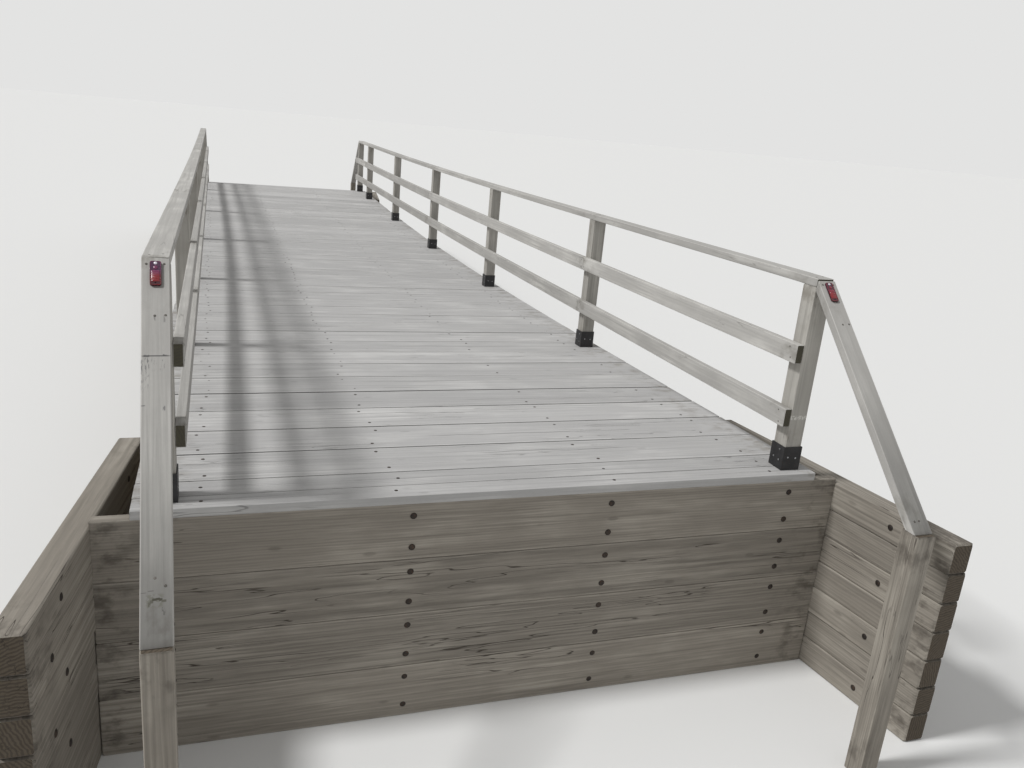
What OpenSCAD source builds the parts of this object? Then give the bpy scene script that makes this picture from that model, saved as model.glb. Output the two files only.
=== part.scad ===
/* [Deck] */
// How far the deck runs out past the posts at each side
deck_edge = 71; // [20:1:200]
// Thickness of the deck boards
deck_t = 38; // [25:1:60]
// Distance from one railing post to the next
bay = 2438; // [1800:2:2600]
// Length of the short bay at the far end
last_bay = 1080; // [600:10:1600]
// How far the deck runs on past the end posts
end_margin = 55; // [50:1:120]
// How far the deck has sagged at the middle of the bridge
deck_sag = 120; // [0:5:150]

/* [Railing] */
// Clear width between the left and the right posts
clear_w = 2660; // [1800:10:3200]
// Side of the square posts, and the width of the cap rails and braces that line up with them
post_size = 89; // [80:1:110]
// Depth of the side rails, which are boards on edge
rail_w = 89; // [80:1:140]
// Thickness of the rail boards
rail_t = 38; // [25:1:45]
// Height of the top of the cap rail over the ends of the deck
cap_top = 914; // [800:2:1100]
// Height of the top of the middle rail
mid_top = 610; // [560:1:680]
// Height of the top of the low rail
low_top = 305; // [260:1:400]
// How far the railing has sagged at the middle of the bridge
rail_sag = 40; // [0:1:60]
// Gap between two rail boards that meet on a post
butt_gap = 3; // [1:0.5:8]

/* [Post bases] */
// Height of the steel sleeve round the foot of a post
sleeve_h = 115; // [80:1:150]
// Thickness of the steel of the sleeve
sleeve_t = 5; // [3:0.5:8]

/* [End braces] */
// Angle of the braces to the level
brace_angle = 45; // [38:1:60]
// Height of the feet of the left braces over the ends of the deck
left_foot = -10; // [-80:5:120]
// Height of the feet of the right braces over the ends of the deck
right_foot = 80; // [-80:5:120]
// How far the left braces lean in towards the deck at their feet
left_lean = 28; // [0:2:60]
// Side of the square stake under the foot of a brace
stake_size = 89; // [80:1:140]

/* [Reflectors] */
// Width of a reflector
reflector_w = 36; // [25:1:60]
// Length of a reflector along its brace
reflector_l = 96; // [50:1:110]
// Thickness of a reflector
reflector_t = 7; // [4:0.5:12]
// Distance from the top of the brace to the reflector
reflector_in = 24; // [10:1:80]
// Radius of the corners of a reflector
reflector_r = 7; // [2:0.5:12]
// Bore of the screw holes in a reflector
reflector_hole = 5; // [3:0.5:8]

/* [Beams] */
// Width of a main beam
beam_w = 171; // [90:1:220]
// How far the outer beams stand inwards from the middle of the posts
beam_inset = 55; // [0:5:150]
// Depth of a main beam
beam_h = 456; // [350:2:600]
// Depth of the blocks between the beams, which are as thick as the posts
block_h = 286; // [200:1:340]

/* [Abutments] */
// Height of the bearing walls that carry the beams
wall_h = 552; // [400:2:900]
// Thickness of the bearing walls
wall_t = 184; // [120:1:240]
// Thickness of the headwalls behind the ends of the beams
headwall_t = 50; // [30:1:50]
// Thickness of the wing walls
wing_t = 105; // [80:1:160]
// Length of the wing walls on the inner side of the headwall
wing_fore = 850; // [400:10:1000]
// Length of the wing walls on the outer side of the headwall
wing_back = 700; // [300:10:900]
// Angle at which the wing walls flare outwards
wing_flare = 7.5; // [0:0.5:15]
// Gap between the edge of the deck and the nearest corner of a wing wall
wing_gap = 15; // [5:1:40]
// How far the top of a wing wall lies below the top of the deck
wing_drop = 60; // [40:5:200]

/* [Hidden] */

grey_stain = [0.66, 0.66, 0.64];
bare_timber = [0.42, 0.33, 0.25];
black_steel = [0.07, 0.07, 0.08];
reflector_red = [0.75, 0.08, 0.08];

left = -1;
right = 1;
near = -1;
far = 1;
curve_steps = 24;
tiny = 0.01;
spare = 1;

// Seven posts a side: five whole bays and a short one
last_post = 6;
deck_w = clear_w + 2 * (post_size + deck_edge);
deck_len = 2 * end_margin + post_size + 5 * bay + last_bay;
first_post_y = -deck_len / 2 + end_margin + post_size / 2;
function post_y(i) = first_post_y + min(i, 5) * bay + max(i - 5, 0) * last_bay;
post_in = clear_w / 2;
post_out = post_in + post_size;
post_mid = post_in + post_size / 2;
rail_run = abs(post_y(0)) + post_size / 2;

// Heights over the floor at the ends of the deck
deck_top = wall_h + beam_h + deck_t;
beam_end = deck_len / 2 - end_margin;
span = 2 * (beam_end - wall_t);

// The deck sags in a wave from wall to wall, and the straighter railing less
function dip(y) = cos(180 * y / span);
stations = [for (i = [0 : curve_steps]) -span / 2 + i * span / curve_steps];
deck_curve = [for (y = stations) [y, deck_top - deck_sag * dip(y)]];
rail_curve = [for (y = stations) [y, deck_top - rail_sag * dip(y)]];
function deck_z(y) = lookup(y, deck_curve);
function rail_z(y) = lookup(y, rail_curve);

// Board or beam between two heights that follow the curve of the bridge
module band(x_min, x_max, y_min, y_max, low, high) {
    inner = [for (y = stations) if (y > y_min + tiny && y < y_max - tiny) y];
    ys = concat([y_min], inner, [y_max]);
    count = len(ys);
    lower = [for (y = ys) [y, low(y)]];
    upper = [for (i = [1 : count]) [ys[count - i], high(ys[count - i])]];
    translate([x_min, 0, 0])
        rotate([90, 0, 90])
            linear_extrude(x_max - x_min)
                polygon(concat(lower, upper));
}

// Mirrors a left-hand or near-end piece from its right-hand or far-end drawing
module on_side(side) {
    scale_x = side < 0 ? 1 : 0;
    mirror([scale_x, 0, 0]) children();
}

module at_end(end) {
    scale_y = end < 0 ? 1 : 0;
    mirror([0, scale_y, 0]) children();
}

// Deck
bay_edges = concat([-deck_len / 2], [for (i = [1 : 5]) post_y(i)], [deck_len / 2]);

module deck_bay(k) {
    color(grey_stain)
        band(-deck_w / 2, deck_w / 2, bay_edges[k - 1], bay_edges[k],
            function(y) deck_z(y) - deck_t, function(y) deck_z(y));
}

// Main beams, the outer two under the posts
outer_beam = post_mid - beam_inset;
beam_x = [-outer_beam, -outer_beam / 3, outer_beam / 3, outer_beam];

module main_beam(k) {
    x = beam_x[k - 1];
    color(bare_timber)
        band(x - beam_w / 2, x + beam_w / 2, -beam_end, beam_end,
            function(y) deck_z(y) - deck_t - beam_h, function(y) deck_z(y) - deck_t);
}

// Blocks between the beams under each pair of posts
module beam_blocking() {
    color(bare_timber)
        for (i = [0 : last_post], k = [0, 1, 2])
            band(beam_x[k] + beam_w / 2, beam_x[k + 1] - beam_w / 2,
                post_y(i) - post_size / 2, post_y(i) + post_size / 2,
                function(y) deck_z(y) - deck_t - block_h, function(y) deck_z(y) - deck_t);
}

// Abutments, drawn at the far end
wing_tip = beam_end - wing_fore;
wing_tail = beam_end + wing_back;
wing_slope = tan(wing_flare);
function wing_in(y) = deck_w / 2 + wing_gap + (y - wing_tip) * wing_slope;

module cross_wall(y_min, y_max, height) {
    linear_extrude(height)
        polygon([[-wing_in(y_min), y_min], [wing_in(y_min), y_min],
            [wing_in(y_max), y_max], [-wing_in(y_max), y_max]]);
}

module bearing_wall(end) {
    color(bare_timber) at_end(end) cross_wall(beam_end - wall_t, beam_end, wall_h);
}

module headwall(end) {
    color(bare_timber) at_end(end) cross_wall(beam_end, beam_end + headwall_t, deck_top - deck_t);
}

module wing_wall(end, side) {
    wing_out = wing_t / cos(wing_flare);
    color(bare_timber) at_end(end) on_side(side)
        linear_extrude(deck_top - wing_drop)
            polygon([[wing_in(wing_tip), wing_tip], [wing_in(wing_tip) + wing_out, wing_tip],
                [wing_in(wing_tail) + wing_out, wing_tail], [wing_in(wing_tail), wing_tail]]);
}

// Posts and their steel sleeves
module railing_posts(side) {
    color(grey_stain) on_side(side)
        for (i = [0 : last_post])
            band(post_in, post_out, post_y(i) - post_size / 2, post_y(i) + post_size / 2,
                function(y) deck_z(y) + sleeve_t, function(y) rail_z(y) + cap_top - rail_t);
}

module post_bases(side) {
    half = post_size / 2 + sleeve_t;
    color(black_steel) on_side(side)
        for (i = [0 : last_post])
            difference() {
                band(post_mid - half, post_mid + half, post_y(i) - half, post_y(i) + half,
                    function(y) deck_z(y), function(y) deck_z(y) + sleeve_h);
                band(post_in, post_out, post_y(i) - post_size / 2, post_y(i) + post_size / 2,
                    function(y) deck_z(y) + sleeve_t, function(y) deck_z(y) + sleeve_h + spare);
            }
}

// Rails, in boards that meet on every second post
joints = [for (i = [1 : 2 : 5]) post_y(i)];
board_starts = concat([-rail_run], [for (y = joints) y + butt_gap / 2]);
board_ends = concat([for (y = joints) y - butt_gap / 2], [rail_run]);

module rail_boards(x_min, x_max, depth, top) {
    for (i = [0 : len(board_starts) - 1])
        band(x_min, x_max, board_starts[i], board_ends[i],
            function(y) rail_z(y) + top - depth, function(y) rail_z(y) + top);
}

module cap_rail(side) {
    color(grey_stain) on_side(side)
        rail_boards(post_in, post_out, rail_t, cap_top);
}

module side_rail(side, top) {
    color(grey_stain) on_side(side)
        rail_boards(post_in - rail_t, post_in, rail_w, top);
}

// End braces, drawn at the far end: boards that slope from the end of the cap down to a stake
brace_top = deck_top + cap_top;
foot_len = rail_t / sin(brace_angle);
plumb_len = rail_t / cos(brace_angle);
function foot_z(side) = deck_top + (side < 0 ? left_foot : right_foot);
function foot_y(side) = rail_run + (brace_top - foot_z(side)) / tan(brace_angle);
function lean_turn(side) = side < 0 ? atan(left_lean / (foot_y(side) - rail_run)) : 0;

// Turns what stands outside the end of a railing about the outer corner of its last post
module leaning(side) {
    translate([post_out, rail_run, 0])
        rotate([0, 0, lean_turn(side)])
            translate([-post_out, -rail_run, 0])
                children();
}

module brace_board(side) {
    translate([post_in, 0, 0])
        rotate([90, 0, 90])
            linear_extrude(post_size)
                polygon([[rail_run, brace_top], [rail_run, brace_top - plumb_len],
                    [foot_y(side) - foot_len, foot_z(side)], [foot_y(side), foot_z(side)]]);
}

// The top of a leaning brace is cut to the end of the cap and the post
module end_brace(end, side) {
    color(grey_stain) at_end(end) on_side(side)
        difference() {
            leaning(side) brace_board(side);
            if (lean_turn(side) > 0)
                translate([post_in - spare, rail_run - post_size, brace_top - plumb_len - post_size])
                    cube([post_size + 2 * spare, post_size, plumb_len + post_size + spare]);
        }
}

module brace_stakes() {
    color(bare_timber)
        for (end = [near, far], side = [left, right])
            at_end(end) on_side(side) leaning(side)
                translate([post_mid - stake_size / 2, foot_y(side) - (foot_len + stake_size) / 2, 0])
                    cube([stake_size, stake_size, foot_z(side)]);
}

// Reflector: a plate with round corners and a screw hole at each end
module reflector_plate() {
    half = reflector_w / 2;
    hole_in = reflector_w / 4;
    linear_extrude(reflector_t)
        difference() {
            union() {
                translate([-half + reflector_r, 0])
                    square([reflector_w - 2 * reflector_r, reflector_l]);
                translate([-half, reflector_r])
                    square([reflector_w, reflector_l - 2 * reflector_r]);
                for (x = [-half + reflector_r, half - reflector_r], y = [reflector_r, reflector_l - reflector_r])
                    translate([x, y])
                        circle(r = reflector_r, $fn = 32);
            }
            for (y = [hole_in, reflector_l - hole_in])
                translate([0, y])
                    circle(d = reflector_hole, $fn = 32);
        }
}

module reflector(end, side) {
    color(reflector_red) at_end(end) on_side(side) leaning(side)
        translate([post_mid, rail_run, brace_top])
            rotate([-brace_angle, 0, 0])
                translate([0, reflector_in, 0])
                    reflector_plate();
}

deck_bay(1);  // deck_bay_1
deck_bay(2);  // deck_bay_2
deck_bay(3);  // deck_bay_3
deck_bay(4);  // deck_bay_4
deck_bay(5);  // deck_bay_5
deck_bay(6);  // deck_bay_6
main_beam(1);  // main_beam_1
main_beam(2);  // main_beam_2
main_beam(3);  // main_beam_3
main_beam(4);  // main_beam_4
beam_blocking();
bearing_wall(near);  // near_bearing_wall
bearing_wall(far);  // far_bearing_wall
headwall(near);  // near_headwall
headwall(far);  // far_headwall
wing_wall(near, left);  // wing_wall_near_left
wing_wall(near, right);  // wing_wall_near_right
wing_wall(far, left);  // wing_wall_far_left
wing_wall(far, right);  // wing_wall_far_right
brace_stakes();
railing_posts(left);  // left_posts
railing_posts(right);  // right_posts
post_bases(left);  // left_post_bases
post_bases(right);  // right_post_bases
cap_rail(left);  // left_cap_rail
cap_rail(right);  // right_cap_rail
side_rail(left, mid_top);  // left_mid_rail
side_rail(right, mid_top);  // right_mid_rail
side_rail(left, low_top);  // left_low_rail
side_rail(right, low_top);  // right_low_rail
end_brace(near, left);  // end_brace_near_left
end_brace(near, right);  // end_brace_near_right
end_brace(far, left);  // end_brace_far_left
end_brace(far, right);  // end_brace_far_right
reflector(near, left);  // reflector_near_left
reflector(near, right);  // reflector_near_right
reflector(far, left);  // reflector_far_left
reflector(far, right);  // reflector_far_right
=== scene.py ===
import math
import random
import bpy
from mathutils import Matrix, Vector


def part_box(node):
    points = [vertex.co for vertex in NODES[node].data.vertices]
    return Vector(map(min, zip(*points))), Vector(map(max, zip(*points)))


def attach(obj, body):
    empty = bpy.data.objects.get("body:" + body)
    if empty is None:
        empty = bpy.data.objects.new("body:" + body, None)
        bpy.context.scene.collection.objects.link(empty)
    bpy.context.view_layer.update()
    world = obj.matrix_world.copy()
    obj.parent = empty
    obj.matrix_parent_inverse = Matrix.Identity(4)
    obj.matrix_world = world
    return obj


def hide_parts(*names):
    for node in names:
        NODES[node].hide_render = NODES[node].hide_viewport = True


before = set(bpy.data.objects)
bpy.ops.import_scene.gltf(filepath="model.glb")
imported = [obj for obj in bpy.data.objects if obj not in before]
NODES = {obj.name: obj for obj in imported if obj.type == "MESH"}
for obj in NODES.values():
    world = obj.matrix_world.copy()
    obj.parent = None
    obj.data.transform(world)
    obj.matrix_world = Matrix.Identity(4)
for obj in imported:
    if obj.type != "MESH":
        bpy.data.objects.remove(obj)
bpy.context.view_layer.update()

# Wooden footbridge, dressed over its solid frame. Metres, +Y from the near end to the far end, +Z up.

SIDES = {"left": -1, "right": 1}
ENDS = {"near": -1, "far": 1}
CORNERS = [(end, side) for end in ENDS for side in SIDES]
BAYS = ["deck_bay_%d" % k for k in range(1, 7)]
SEEDS = {"deck": 11, "boards": 100, "nails": 12, "posts": 210, "stakes": 77, "screws": 31,
         "sleeves": 41, "beams": 300, "blocking": 320, "bearings": 400, "headwalls": 410, "wings": 420}


def even(draw, reach):
    """The next draw between minus and plus this reach."""
    return draw.uniform(-reach, reach)


def linear(r, g, b):
    """A display colour from 0 to 255 as the linear colour that a shader takes."""
    values = [c / 255 for c in (r, g, b)]
    return tuple(c / 12.92 if c <= 0.04045 else ((c + 0.055) / 1.055) ** 2.4 for c in values) + (1.0,)


# Shader nodes

class Shader:
    """A material with a Principled shader, and short calls that add nodes to it."""

    def __init__(self, name):
        self.material = bpy.data.materials.new(name)
        self.material.use_nodes = True
        self.tree = self.material.node_tree
        self.bsdf = self.tree.nodes["Principled BSDF"]

    def put(self, socket, value):
        """Links a node's output to a socket, or sets the socket to a constant."""
        if isinstance(value, bpy.types.NodeSocket):
            self.tree.links.new(value, socket)
        elif value is not None:
            socket.default_value = value

    def node(self, kind, *values, **props):
        """A new node with its settings, and values for its first inputs."""
        made = self.tree.nodes.new("ShaderNode" + kind)
        for name, value in props.items():
            setattr(made, name, value)
        for socket, value in zip(made.inputs, values):
            self.put(socket, value)
        return made

    def fill(self, node, **values):
        """Gives a node's inputs these values by name, with _ for a space."""
        for name, value in values.items():
            self.put(node.inputs[name.replace("_", " ")], value)
        return node.outputs[0]

    def math(self, operation, a, b=None, c=None):
        """The result of one sum."""
        return self.node("Math", a, b, c, operation=operation).outputs[0]

    def times(self, a, b):
        """The product of two values."""
        return self.math("MULTIPLY", a, b)

    def ramp(self, value, low, high, to_low=0.0, to_high=1.0):
        """A soft step of the value between two limits."""
        made = self.node("MapRange", value, low, high, to_low, to_high)
        made.interpolation_type = "SMOOTHSTEP"
        return made.outputs[0]

    def mix(self, share, a, b, blend="MIX"):
        """Two colours, mixed by a share."""
        made = self.node("Mix", data_type="RGBA", blend_type=blend)
        self.put(made.inputs[0], share)
        self.put(made.inputs[6], a)
        self.put(made.inputs[7], b)
        return made.outputs[2]

    def scaled(self, vector, factors):
        """A place multiplied by a factor on each axis."""
        return self.node("VectorMath", vector, factors, operation="MULTIPLY").outputs[0]

    def noise(self, vector, factors, detail=3.0, rough=0.5, warp=0.0):
        """Noise that is stretched by a factor on each axis."""
        return self.fill(self.node("TexNoise"), Vector=self.scaled(vector, factors), Scale=1.0,
                         Detail=detail, Roughness=rough, Distortion=warp)

    def bump(self, height, strength, distance, normal=None):
        """A normal with bumps of this height."""
        return self.fill(self.node("Bump"), Strength=strength, Distance=distance, Height=height,
                         Normal=normal)

    def finish(self, colour, rough, normal, **constants):
        """Joins the nodes to the shader, sets its constants and gives the material."""
        self.fill(self.bsdf, Base_Color=colour, Roughness=rough, Normal=normal, **constants)
        return self.material


# What kind of face it is: the third value that a board's mesh carries for its faces. On the deck, a shut
# side, which faces a neighbour, gets painted shade for the gap.
END_FACE, SHUT_SIDE, OPEN_SIDE = 1.0, -1.0, 0.0


def wood_place(s, grain):
    """Coordinates across, along and through the grain, from the boards or the object's axes."""
    if grain is None:
        return s.node("Attribute", attribute_name="wood").outputs["Vector"]
    turn = {"x": (0, 0, math.pi / 2), "y": (0, 0, 0), "z": (math.pi / 2, 0, 0)}[grain]
    mapping = s.node("Mapping", s.node("TexCoord").outputs["Object"])
    mapping.inputs["Rotation"].default_value = turn
    return mapping.outputs[0]


def scuff(s, low, high, stretch, cover):
    """Share of a scuff: noise inside a box with soft sides."""
    place = s.node("TexCoord").outputs["Object"]
    share = s.ramp(s.noise(place, stretch, 3, 0.6), 0.62 - cover * 0.3, 0.68 - cover * 0.3)
    for at, a, b in zip(s.node("SeparateXYZ", place).outputs, low, high):
        soft = (b - a) * 0.12
        share = s.times(share, s.ramp(at, a - soft, a + soft))
        share = s.times(share, s.ramp(at, b + soft, b - soft))
    return share


def centred(s, value):
    """Moves a value from 0 to 1 so that it lies around zero."""
    return s.math("SUBTRACT", value, 0.5)


def year_rings(s, place):
    """Wavy bands of year rings, drawn long along the grain."""
    ring = s.node("TexWave", wave_type="RINGS", rings_direction="Y")
    s.fill(ring, Vector=s.scaled(place, (1, 0.09, 1)), Scale=26, Distortion=5, Detail=2, Detail_Scale=1.6)
    return ring.outputs[1]


def drying_checks(s, place, cover):
    """Thin checks along the grain, in patches."""
    line = s.math("ABSOLUTE", centred(s, s.noise(place, (17, 0.75, 17), 2.5, 0.6, 0.25)))
    patch = s.ramp(s.noise(place, (3.1, 1.2, 3.1), 1, 0.5), 0.52, 0.62)
    crack = s.times(s.ramp(line, 0.0012, 0.006, 1.0, 0.0), patch)
    return s.times(crack, cover)


def knot_spots(s, place, cover):
    """Round knots, a little longer along the grain."""
    spots = s.fill(s.node("TexVoronoi", feature="F1"), Vector=s.scaled(place, (9, 3.2, 9)), Scale=1.0)
    return s.times(s.ramp(spots, 0.05, 0.115, 1.0, 0.0), cover)


def board_values(s):
    """What a board's mesh carries: shade, wear, kind of face, long edges, soiled ends, place across."""
    tone = s.node("Attribute", attribute_name="board").outputs["Vector"]
    shade, rub, kind = s.node("SeparateXYZ", tone).outputs
    at = s.node("SeparateXYZ", s.node("Attribute", attribute_name="place").outputs["Vector"]).outputs
    side = s.ramp(s.math("ABSOLUTE", at[1]), 0.86, 1.0)
    top = s.ramp(s.math("ABSOLUTE", at[2]), 0.86, 1.0)
    near_end = s.ramp(at[0], 0.0, 0.3, 1.0, 0.0)
    return shade, rub, kind, s.times(side, top), near_end, at[1]


def long_check(s, place, rub, across, cover):
    """A long check that wanders about the middle of a board."""
    wave = s.noise(place, (0.01, 2.6, 0.01), 2, 0.5)
    line = s.math("MULTIPLY_ADD", centred(s, wave), 0.5, s.math("MULTIPLY_ADD", rub, 0.8, -0.4))
    off = s.math("ABSOLUTE", s.math("SUBTRACT", across, line))
    part = s.ramp(s.noise(place, (0.01, 0.8, 0.01), 1, 0.5), 0.47, 0.56)
    check = s.times(s.ramp(off, 0.004, 0.013, 1.0, 0.0), part)
    return s.times(check, cover)


def worn_share(s, rub, blotch, streak, edge, fine):
    """How far the surface is worn: in blotches, along streaks and on the long edges."""
    wear = s.math("MULTIPLY_ADD", rub, 0.35, s.ramp(blotch, 0.42, 0.72, 0.0, 0.75))
    wear = s.times(wear, s.ramp(streak, 0.3, 0.62))
    wear = s.math("MAXIMUM", wear, s.times(edge, s.ramp(fine, 0.3, 0.55)))
    return s.math("MINIMUM", wear, 1.0)


def grain_bumps(s, fine, streak, ring, crack, bumps):
    """A normal with the fine ridges of the grain and the depth of the checks."""
    height = s.math("MULTIPLY_ADD", fine, 0.35, s.times(streak, 0.5))
    height = s.math("MULTIPLY_ADD", ring, 0.15, height)
    normal = s.bump(height, 0.45 * bumps, 0.0014)
    return s.bump(s.math("SUBTRACT", 1.0, crack), 0.8, 0.003, normal)


def wood(name, base, worn, dark, end, grain=None, streaks=0.2, checks=1.0, rings=0.1, bumps=1.0,
         dirt=None, mid_checks=0.0, knots=0.5, marks=()):
    """Sawn wood: streaks, year rings, knots, drying checks, worn edges, soiled ends, painted gap shade on a
    deck board's sides that face a neighbour, and a tone for each board.
    marks: scuffs inside a box, as (low corner, high corner, colour, noise stretch, share covered)."""
    s = Shader(name)
    place = wood_place(s, grain)
    fine = s.noise(place, (260, 6, 260), 4, 0.6)
    streak = s.noise(place, (60, 1.3, 60), 4, 0.6, 0.3)
    blotch = s.noise(place, (5, 2.2, 5), 3, 0.55)
    speck = s.noise(place, (150, 60, 150), 2, 0.5)
    ring = year_rings(s, place)
    crack = drying_checks(s, place, checks)
    knot = knot_spots(s, place, knots)
    shade, rub, kind, edge, near_end = 0.0, 0.5, OPEN_SIDE, 0.0, 0.0
    if grain is None:
        shade, rub, kind, edge, near_end, across = board_values(s)
        if mid_checks:
            crack = s.math("MAXIMUM", crack, long_check(s, place, rub, across, mid_checks))
            # A side that faces a neighbour takes the dark colour: painted shade in the gap between deck
            # boards.
            crack = s.math("MAXIMUM", crack, s.times(kind, SHUT_SIDE))
    wear = worn_share(s, rub, blotch, streak, edge, fine)
    value = 1.0
    for part, share in ((centred(s, streak), streaks * 2), (centred(s, fine), streaks * 1.3),
                        (centred(s, ring), rings), (shade, 0.09), (centred(s, speck), 0.08)):
        value = s.math("MULTIPLY_ADD", part, share, value)
    grey = s.node("CombineXYZ", value, value, value).outputs[0]
    colour = s.mix(1.0, s.mix(wear, base, worn), grey, "MULTIPLY")
    soil = s.times(s.ramp(s.noise(place, (14, 9, 14), 4, 0.6), 0.46, 0.68), near_end)
    colour = s.mix(s.times(soil, 0.6), colour, dirt or dark)
    colour = s.mix(s.times(knot, 0.55), colour, dark)
    end_grain = s.mix(s.ramp(ring, 0.2, 0.9, 0.0, 0.6), end, dark)
    colour = s.mix(s.math("MAXIMUM", kind, 0.0), colour, end_grain)
    colour = s.mix(s.times(crack, 0.85), colour, dark)
    for low, high, tint, stretch, cover in marks:
        colour = s.mix(scuff(s, low, high, stretch, cover), colour, tint)
    normal = grain_bumps(s, fine, streak, ring, crack, bumps)
    rough = s.ramp(streak, 0.25, 0.75, 0.88, 0.68)
    return s.finish(colour, rough, normal, Specular_IOR_Level=0.3)


def metal(name, base, worn, roughness=0.45, metallic=1.0, rust=0.0):
    """Metal or painted steel with fine scratches, stains and spots of rust."""
    s = Shader(name)
    place = s.node("TexCoord").outputs["Object"]
    cloud = s.noise(place, (30, 30, 30), 4, 0.6)
    grain = s.noise(place, (700, 700, 700), 2, 0.5)
    scratch = s.noise(place, (900, 60, 200), 2, 0.6)
    colour = s.mix(s.ramp(cloud, 0.4, 0.7), base, worn)
    spot = s.ramp(s.noise(place, (160, 160, 160), 3, 0.6), 0.58, 0.7)
    colour = s.mix(s.times(spot, rust), colour, linear(96, 58, 36))
    rough = s.math("MULTIPLY_ADD", centred(s, scratch), 0.35, roughness)
    normal = s.bump(s.math("ADD", grain, scratch), 0.18, 0.0005)
    return s.finish(colour, rough, normal, Metallic=metallic)


# Heights between which the painted sky reflection on a reflector sets in
SHEEN_HEIGHTS = (1.902, 1.922)


def reflector_plastic(name, dark, bright, sky_sheen):
    """Red moulded plastic with rows of small prisms under a glossy face, and a painted purple sky reflection
    over its upper half, stronger to the left.
    """
    s = Shader(name)
    place = s.node("TexCoord").outputs["Object"]
    cells = s.node("TexVoronoi", feature="DISTANCE_TO_EDGE")
    facet = s.ramp(s.fill(cells, Vector=place, Scale=330, Randomness=0.12), 0.0, 0.22)
    dust = s.noise(place, (60, 60, 60), 4, 0.6)
    at = s.node("SeparateXYZ", place).outputs
    left_more = s.ramp(at[0], -1.0, 1.0, 0.75, 0.2)
    # Painted sky reflection: the sheen colour over the upper half.
    sheen_share = s.times(s.ramp(at[2], *SHEEN_HEIGHTS), left_more)
    colour = s.mix(sheen_share, s.mix(facet, dark, bright), sky_sheen)
    colour = s.mix(s.ramp(dust, 0.5, 0.8, 0.0, 0.3), colour, linear(120, 84, 90))
    rough = s.ramp(dust, 0.3, 0.7, 0.14, 0.36)
    normal = s.bump(facet, 0.25, 0.0006)
    return s.finish(colour, rough, normal, Specular_IOR_Level=0.45, Coat_Weight=0.3, Coat_Roughness=0.12)


# Boards
END_EASE_SHARE, FLAT_SIDE = 0.8, 0.95
WOOD_SHIFT, SHADE_SPREAD = (3, 9, 3), 0.5


def round_corners(steps):
    """The points of four round corners: the signs of the corner, and which way the point faces."""
    for su, sv, first in ((1, -1, -90), (1, 1, 0), (-1, 1, 90), (-1, -1, 180)):
        for i in range(steps + 1):
            angle = math.radians(first + 90 * i / steps)
            yield su, sv, math.cos(angle), math.sin(angle)


def between(quads, steps):
    """The places of a board, with more of them put between each pair."""
    quads = [[Vector(p) for p in quad] for quad in quads]
    fine = []
    for a, b in zip(quads, quads[1:]):
        fine += [[p.lerp(q, i / steps) for p, q in zip(a, b)] for i in range(steps)]
    return fine + [quads[-1]]


def run_lengths(centres):
    """The distance of each place from the first, along their line."""
    runs = [0.0]
    for a, b in zip(centres, centres[1:]):
        runs.append(runs[-1] + (b - a).length)
    return runs


def eased_rows(fine, runs, ease):
    """The run, corners and 1 for an end of each place of a board, with one more inside each end."""
    total = runs[-1]
    head = [p.lerp(q, min(1, ease / runs[1])) for p, q in zip(fine[0], fine[1])]
    tail = [p.lerp(q, min(1, ease / (total - runs[-2]))) for p, q in zip(fine[-1], fine[-2])]
    rows = [(0.0, fine[0], 1), (ease, head, 0)]
    rows += [(run, quad, 0) for run, quad in zip(runs[1:-1], fine[1:-1])]
    return rows + [(total - ease, tail, 0), (total, fine[-1], 1)]


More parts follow.
